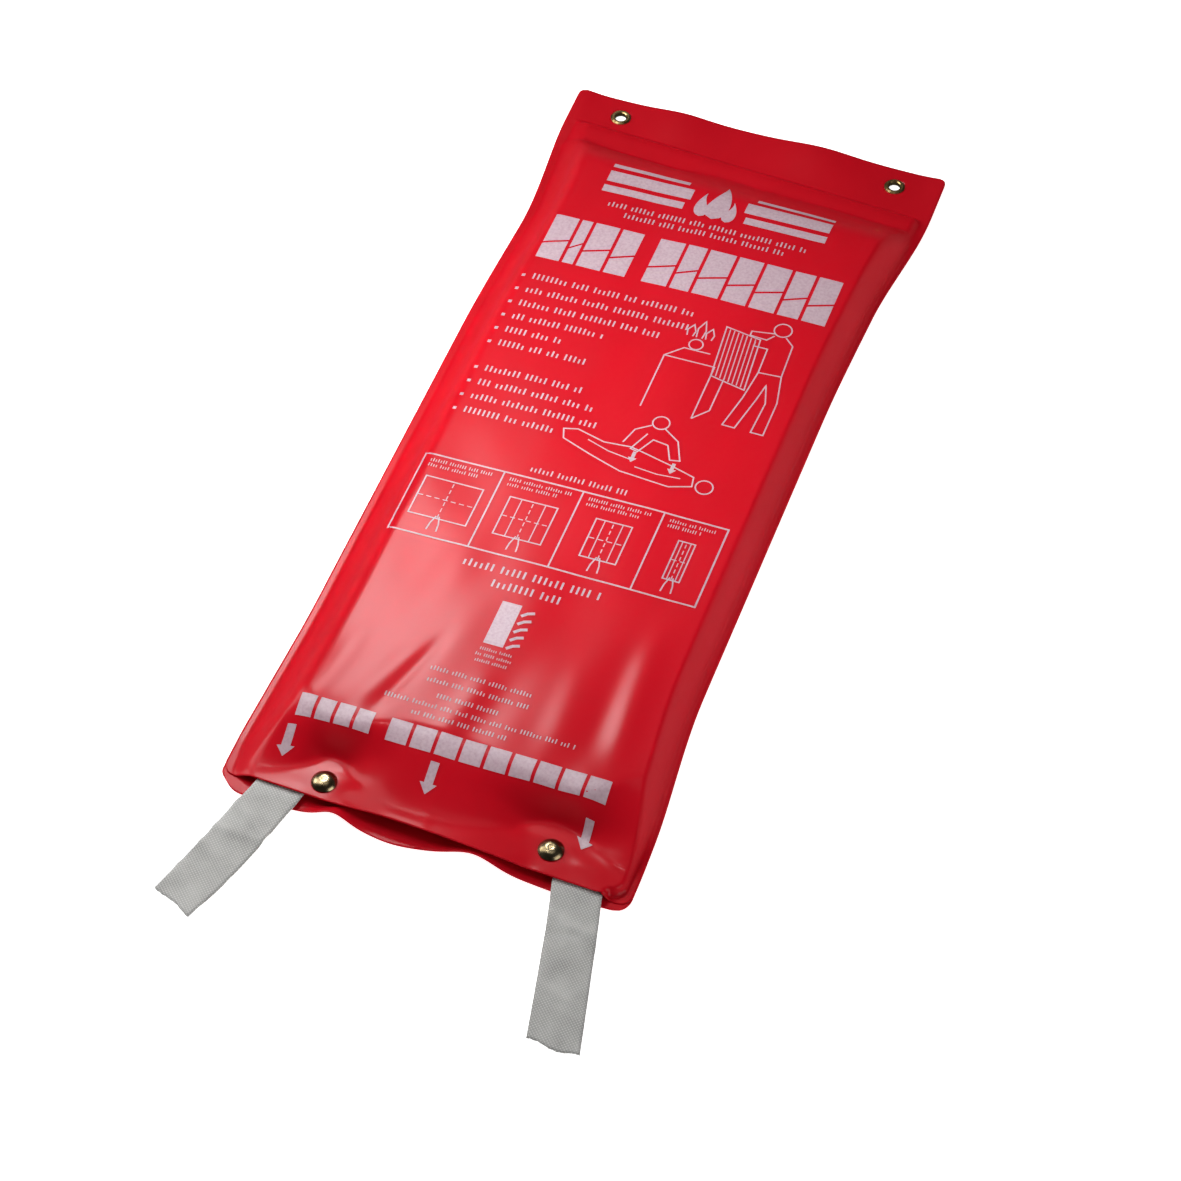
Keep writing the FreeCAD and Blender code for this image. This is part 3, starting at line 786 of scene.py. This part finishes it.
def print_steps():
    """Two lists: a dot and a line of ticks for each step."""
    p = Print()
    ends = {89: 14, 79: 18, 69: 2, 59: -24, 49: -42, 39: -26, 20: -20, 10: -12, 0: -6, -10: -24}
    for index, (y, end) in enumerate(ends.items()):
        p.block(-80, -78.2, y - 1.5, y + 0.3)
        p.words(-74, end, y, 4.0, 20 + index)
    return p.finish("print_steps")


def print_blanket_over_pan():
    """A standing figure lowers a blanket over a burning pan."""
    p = Print()
    p.line([(9, 20), (9, 57), (36, 57), (36, 20)])
    p.line([(9, 57), (17, 65), (31, 65)])
    p.line([(36, 20), (43, 28), (43, 52)])
    p.ring(22, 69, 3.6)
    for x, tall in ((17, 8), (22, 12), (27, 8)):
        p.line([(x - 1.6, 74), (x - 2.4, 74 + tall * 0.5), (x, 74 + tall), (x + 2, 74 + tall * 0.45),
                (x + 1.4, 74)])
    p.line([(33, 86), (52, 83), (55, 47), (36, 51)], closed=True)
    for k in range(1, 8):
        u = k / 8
        p.line([(33 + 19 * u, 85.2 - 3 * u), (36 + 19 * u, 51.8 - 4 * u)], 0.55)
    p.ring(61, 93, 4.6)
    p.line([(58, 88), (55, 84), (46, 84.5), (46, 87.5), (58, 89.6)])
    p.line([(64, 88.6), (69, 84), (70, 62), (58, 61), (57.4, 78), (50, 78), (50, 81)])
    p.line([(58, 61), (56, 42), (52, 21), (58.5, 21), (63, 44), (64.5, 54), (68, 42), (67, 21), (73.5, 21),
            (73.5, 44), (70, 62)])
    return p.finish("print_pan_picture")


def print_person_in_blanket():
    """A kneeling figure presses a blanket down on someone who lies on the floor."""
    p = Print()
    p.line([(-22, -7), (-15, -5), (0, -9), (14, -8), (36, -13), (50, -17), (51, -23), (40, -27), (14, -25),
            (-4, -19), (-20, -13)], closed=True)
    p.line([(-8, -10), (4, -14), (16, -16)], 0.55)
    p.line([(20, -20), (32, -21), (44, -20)], 0.55)
    p.ring(57, -21.5, 4.4)
    p.ring(23, 12, 4.3)
    p.line([(19, 9), (12, 4), (9, -6)])
    p.line([(26, 9), (35, 3), (40, -9), (35, -10), (31, -1)])
    p.line([(19, 3), (14, -9), (18, -10), (23, 0), (31, -1)])
    p.arrow(17, -10.5, -17.5, 1.8, 4.6)
    p.arrow(38, -11.5, -18.5, 1.8, 4.6)
    p.words(-28, 23, -37.6, 3.4, 40)
    return p.finish("print_person_picture")


def print_folding():
    """Four framed drawings of a sheet that gets narrower, fold by fold."""
    p = Print()
    left, right, low, high = -81.4, 77.2, -95.0, -43.5
    p.line([(left, low), (right, low), (right, high), (left, high)], 0.9, closed=True)
    cells = [left, -39.6, 1.9, 44.2, right]
    for x in cells[1:-1]:
        p.line([(x, low), (x, high)], 0.8)
    shares = (0.36, 0.3, 0.22, 0.13)
    for k, share in enumerate(shares):
        start, end = cells[k], cells[k + 1]
        width = end - start
        middle = (start + end) / 2
        p.words(start + 4, end - 5, high - 3.6, 2.1, 50 + k)
        p.words(start + 4, end - 11, high - 7.0, 2.1, 60 + k)
        half = width * share
        top, bottom = high - 14.5, low + 12
        p.line([(middle - half, bottom), (middle + half, bottom), (middle + half, top), (middle - half, top)],
               0.7, closed=True)
        p.dashes((middle, bottom), (middle, top))
        p.dashes((middle - half, (top + bottom) / 2), (middle + half, (top + bottom) / 2))
        if k:
            p.line([(middle - half * 0.5, top), (middle - half * 0.5, bottom)], 0.5)
            p.line([(middle + half * 0.5, top), (middle + half * 0.5, bottom)], 0.5)
        for way in (-1, 1):
            p.line([(middle + way * 2.6, bottom - 8), (middle + way * 2.2, bottom - 3.5),
                    (middle + way * 0.8, bottom + 1.5)], 0.7)
    return p.finish("print_folding")


def print_small():
    """The size lines, a plain mark and the lines of ticks under it."""
    p = Print()
    p.words(-38, 34, -104, 4.6, 70)
    p.words(-20, 16, -113, 4.6, 71)
    p.block(-11, -1, -149, -122)
    for k in range(5):
        y = -124.5 - 5.2 * k
        p.line([(0.6, y - 3.6), (3.2, y - 1.2), (6.4, y)], 1.6)
    for index, (y, x0, x1) in enumerate([(-152.4, -11, 5), (-156, -12, 6), (-159.6, -11, 5)]):
        p.words(x0, x1, y, 1.8, 80 + index)
    rows = [(-171, -29, 22), (-178, -28, 24), (-186, -20, 12), (-192.4, -44, 52), (-198.4, -28, 20)]
    for index, (y, x0, x1) in enumerate(rows):
        p.words(x0, x1, y, 2.6, 90 + index)
    return p.finish("print_small")


def print_pull():
    """The row of blocks over the mouth, and the three arrows that show which way to pull."""
    p = Print()
    for start, end, count in ((-82, -42.5, 4), (-36, 76, 9)):
        pitch = (end - start) / count
        for k in range(count):
            p.block(start + pitch * k + 0.9, start + pitch * (k + 1) - 0.9, -216.5, -205)
    for x, top in ((-81, -221), (-8, -220), (70, -226)):
        p.arrow(x, top, top - 16)
    return p.finish("print_pull")


for draw in (print_heading, print_title, print_steps, print_blanket_over_pan, print_person_in_blanket,
             print_folding, print_small, print_pull):
    draw()


# ---------------------------------------------------------------- the folded blanket

def pack_object():
    """The blanket, folded back and forth across its width into a flat pack."""
    half = PACK_HIGH[0] - 6.0
    bottom, top = 2.2, PACK_HIGH[2] - 0.9
    layers = 31
    pitch = (top - bottom) / layers
    across = np.linspace(-1, 1, 31)
    profile = []
    for layer in range(layers):
        z = bottom + pitch * (layer + 0.5)
        way = 1 if layer % 2 == 0 else -1
        squeeze = 2.5 * (abs(layer / (layers - 1) - 0.5) * 2) ** 4
        reach = half - squeeze - 0.8 * (layer * 0.618 % 1)
        profile += [(t * way * reach, z, layer) for t in across]
        if layer < layers - 1:
            profile.append((way * (reach + pitch * 0.5), z + pitch * 0.5, layer + 0.5))
    y_rows = np.linspace(0, 1, 64)
    points = []
    tail, head = PACK_LOW[1], PACK_HIGH[1] - 9
    for t in y_rows:
        for x, z, layer in profile:
            share = (z - bottom) / (top - bottom)
            stagger = 4.0 * math.sin(layer * 2.4)
            start = head - 16 * share ** 2 + 0.4 * stagger
            end = tail + 62 * share ** 1.1 + stagger
            y = start + (end - start) * t
            thin = 1 - 0.45 * ease(-84, -181, y)
            sag = 0.35 * math.sin(x * 0.05 + layer) * math.sin(y * 0.021 + layer * 0.7)
            points.append((x, y, bottom + (z - bottom) * thin + sag * 0.3))
    faces = grid_faces(len(y_rows), len(profile))
    return thicken(new_mesh("blanket_pack", points, faces, CLOTH), 0.42, 0.0)


pack = pack_object()
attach(pack, "blanket")
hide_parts("folded_blanket")


# ---------------------------------------------------------------- pull tapes

def through(points, count):
    """Evenly spaced points on one smooth curve through the given points."""
    curve = bpy.data.curves.new("route", "CURVE")
    curve.dimensions = "3D"
    spline = curve.splines.new("NURBS")
    spline.points.add(len(points) - 1)
    for target, p in zip(spline.points, points):
        target.co = (*p, 1)
    spline.order_u = 3
    spline.use_endpoint_u = True
    spline.resolution_u = 16
    holder = bpy.data.objects.new("route", curve)
    mesh = bpy.data.meshes.new_from_object(holder)
    line = np.array([v.co for v in mesh.vertices])
    bpy.data.objects.remove(holder)
    bpy.data.curves.remove(curve)
    bpy.data.meshes.remove(mesh)
    gaps = np.r_[0, np.cumsum(np.linalg.norm(np.diff(line, axis=0), axis=1))]
    wanted = np.linspace(0, gaps[-1], count)
    return np.stack([np.interp(wanted, gaps, line[:, k]) for k in range(3)], axis=1)


TAPE_Z = node_centre("left_pull_tape")[2]
TAPE_THICK = 0.9
TAPE_RIPPLE = 0.18


def ribbon(name, left_edge, right_edge, cut, seed, creases):
    """A flat strip between two edges, each a list of points, with a slightly frayed cut at its free end.
    A crease is its place along the strip, its slant and its height."""
    rows = 150
    columns = 15
    a = through(left_edge, rows)
    b = through(right_edge, rows)
    rng = np.random.default_rng(seed)
    jag = rng.uniform(-1, 1, columns)
    points = []
    for i in range(rows):
        t = i / (rows - 1)
        for j in range(columns):
            u = j / (columns - 1)
            p = a[i] * (1 - u) + b[i] * u
            along = a[min(i + 1, rows - 1)] - a[max(i - 1, 0)]
            along = along / max(np.linalg.norm(along), 1e-9)
            end = ease(0.97, 1, t)
            p = p + along * end * (cut * math.sin(u * math.pi * 2.2 + seed) + 0.25 * jag[j])
            lift = TAPE_RIPPLE * math.sin(u * math.pi) * math.sin(t * 34 + seed * 1.7) * (1 - end)
            for place, slant, height in creases:
                lift += height * float(bump(t, place + slant * u, 0.011))
            points.append((p[0], p[1], p[2] + lift))
    obj = new_mesh(name, points, [face[::-1] for face in grid_faces(rows, columns)], TAPE)
    return thicken(obj, TAPE_THICK, 0.0)


def tape(side, left_edge, right_edge, cut, seed, creases):
    obj = ribbon(side + "_tape", left_edge, right_edge, cut, seed, creases)
    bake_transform(obj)
    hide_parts(side + "_pull_tape", side + "_tape_tab")


tape("left",
     [(-87.4, -120, TAPE_Z), (-87.2, -190, TAPE_Z), (-86.4, -236, TAPE_Z), (-88.5, -250, TAPE_Z),
      (-93, -262, 3.4), (-97.5, -277, 1.5), (-100.5, -287, 1.1), (-105, -303, 1.0), (-109.2, -317.5, 1.2)],
     [(-62.4, -120, TAPE_Z), (-62.5, -190, TAPE_Z), (-62.6, -236, TAPE_Z), (-64.2, -250, TAPE_Z),
      (-68, -263, 3.6), (-71.5, -277, 2.2), (-75.6, -291, 1.3), (-81.5, -311, 1.2), (-87.5, -328, 3.2)],
     0.5, 1, [(0.71, 0.03, 1.0), (0.79, -0.04, 0.8), (0.84, 0.03, 0.6), (0.92, 0.05, 0.6)])
tape("right",
     [(62.4, -120, TAPE_Z), (62.4, -190, TAPE_Z), (61.8, -236, TAPE_Z), (62, -250, TAPE_Z),
      (65, -262, 3.2), (68.2, -275, 1.4), (71, -289, 0.9), (76, -312, 0.9), (80.8, -335.3, 0.9)],
     [(87.4, -120, TAPE_Z), (87.3, -190, TAPE_Z), (86.4, -236, TAPE_Z), (86.6, -250, TAPE_Z),
      (89.6, -262, 3.4), (92.8, -275, 1.6), (95.8, -289, 0.9), (101.2, -312, 0.9), (106.6, -335.8, 0.9)],
     1.1, 4, [(0.69, 0.03, 0.9), (0.72, -0.02, 0.6), (0.86, 0.04, 0.5)])


# ---------------------------------------------------------------- carried-over hardware

def repaint(node, material):
    """Gives a carried-over CAD node a procedural material."""
    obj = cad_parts[node]
    for place in obj.material_slots:
        place.material = material
    if not obj.material_slots:
        obj.data.materials.append(material)


for side in ("left", "right"):
    for part in ("eyelet", "eyelet_washer"):
        repaint(side + "_" + part, BRASS)
    for part in ("snap_cap", "snap_socket", "snap_stud", "snap_post"):
        repaint(side + "_" + part, NICKEL)
    repaint(side + "_tape_stitching", THREAD)


# ---------------------------------------------------------------- floor, light, camera

def make_stage():
    """A plain floor, just under the part. The vinyl and the metal don't mirror it."""
    size = 15.0
    z = -0.0003
    corners = [(-size, -size, z), (size, -size, z), (size, size, z), (-size, size, z)]
    mesh = bpy.data.meshes.new("floor")
    mesh.from_pydata(corners, [], [(0, 1, 2, 3)])
    floor = bpy.data.objects.new("floor", mesh)
    bpy.context.scene.collection.objects.link(floor)
    mesh.materials.append(make_floor())
    floor.visible_glossy = False


def look_along(obj, direction):
    obj.rotation_mode = "QUATERNION"
    obj.rotation_quaternion = direction.to_track_quat("-Z", "Y")


def soft_box(name, place, target, width, height, power, spread=180):
    """A rectangular light aimed at a point; width and height in metres, power in watts, spread in degrees."""
    data = bpy.data.lights.new(name, "AREA")
    data.shape = "RECTANGLE"
    data.size, data.size_y = width, height
    data.energy = power
    data.spread = math.radians(spread)
    obj = bpy.data.objects.new(name, data)
    bpy.context.scene.collection.objects.link(obj)
    obj.location = place
    look_along(obj, Vector(target) - Vector(place))


def make_world():
    """A dim grey surround for light and reflections, which the camera itself sees as white."""
    world = bpy.data.worlds.new("studio")
    bpy.context.scene.world = world
    world.use_nodes = True
    tree = world.node_tree
    sky = tree.nodes["Background"]
    space = tree.nodes.new("ShaderNodeTexCoord")
    split = tree.nodes.new("ShaderNodeSeparateXYZ")
    ramp = tree.nodes.new("ShaderNodeValToRGB")
    tree.links.new(space.outputs["Generated"], split.inputs[0])
    tree.links.new(split.outputs["Z"], ramp.inputs[0])
    tree.links.new(ramp.outputs[0], sky.inputs["Color"])
    ramp.color_ramp.elements[0].color = (1, 1, 1, 1)
    ramp.color_ramp.elements[1].color = (0.7, 0.7, 0.72, 1)
    seen = tree.nodes.new("ShaderNodeLightPath")
    strength = tree.nodes.new("ShaderNodeMapRange")
    tree.links.new(seen.outputs["Is Camera Ray"], strength.inputs["Value"])
    strength.inputs["To Min"].default_value = 0.05
    strength.inputs["To Max"].default_value = 1.0
    tree.links.new(strength.outputs["Result"], sky.inputs["Strength"])


def make_camera():
    """The camera stands at a distance and direction from a point on the floor."""
    distance = 1.747
    target = Vector((0.0195, -0.0822, 0))
    data = bpy.data.cameras.new("camera")
    data.lens = 107.7
    data.sensor_width = 36
    obj = bpy.data.objects.new("camera", data)
    bpy.context.scene.collection.objects.link(obj)
    back = Vector((0.2143, -0.5888, 0.7793))
    obj.location = target + back * distance
    look_along(obj, -back)
    bpy.context.scene.camera = obj


make_stage()
make_world()
soft_box("glint", (-0.49, 0.66, 1.2), (-0.05, -0.14, 0.02), 0.2, 0.26, 7)
soft_box("key", (-0.35, -0.1, 0.5), (-0.02, -0.04, 0), 0.3, 0.3, 1.1)
soft_box("side", (-0.85, -0.05, 0.5), (-0.05, 0.02, 0), 0.4, 0.4, 3.6)
soft_box("pool", (-0.3, 0.05, 1.0), (-0.035, -0.01, 0), 0.2, 0.2, 0.15, spread=24)
soft_box("top", (0, 0, 1.8), (0, 0, 0), 0.7, 0.7, 1.5)
soft_box("fill", (1.3, -0.6, 0.6), (0, 0, 0), 1.0, 0.8, 7)
make_camera()
bpy.context.scene.view_settings.view_transform = "Standard"
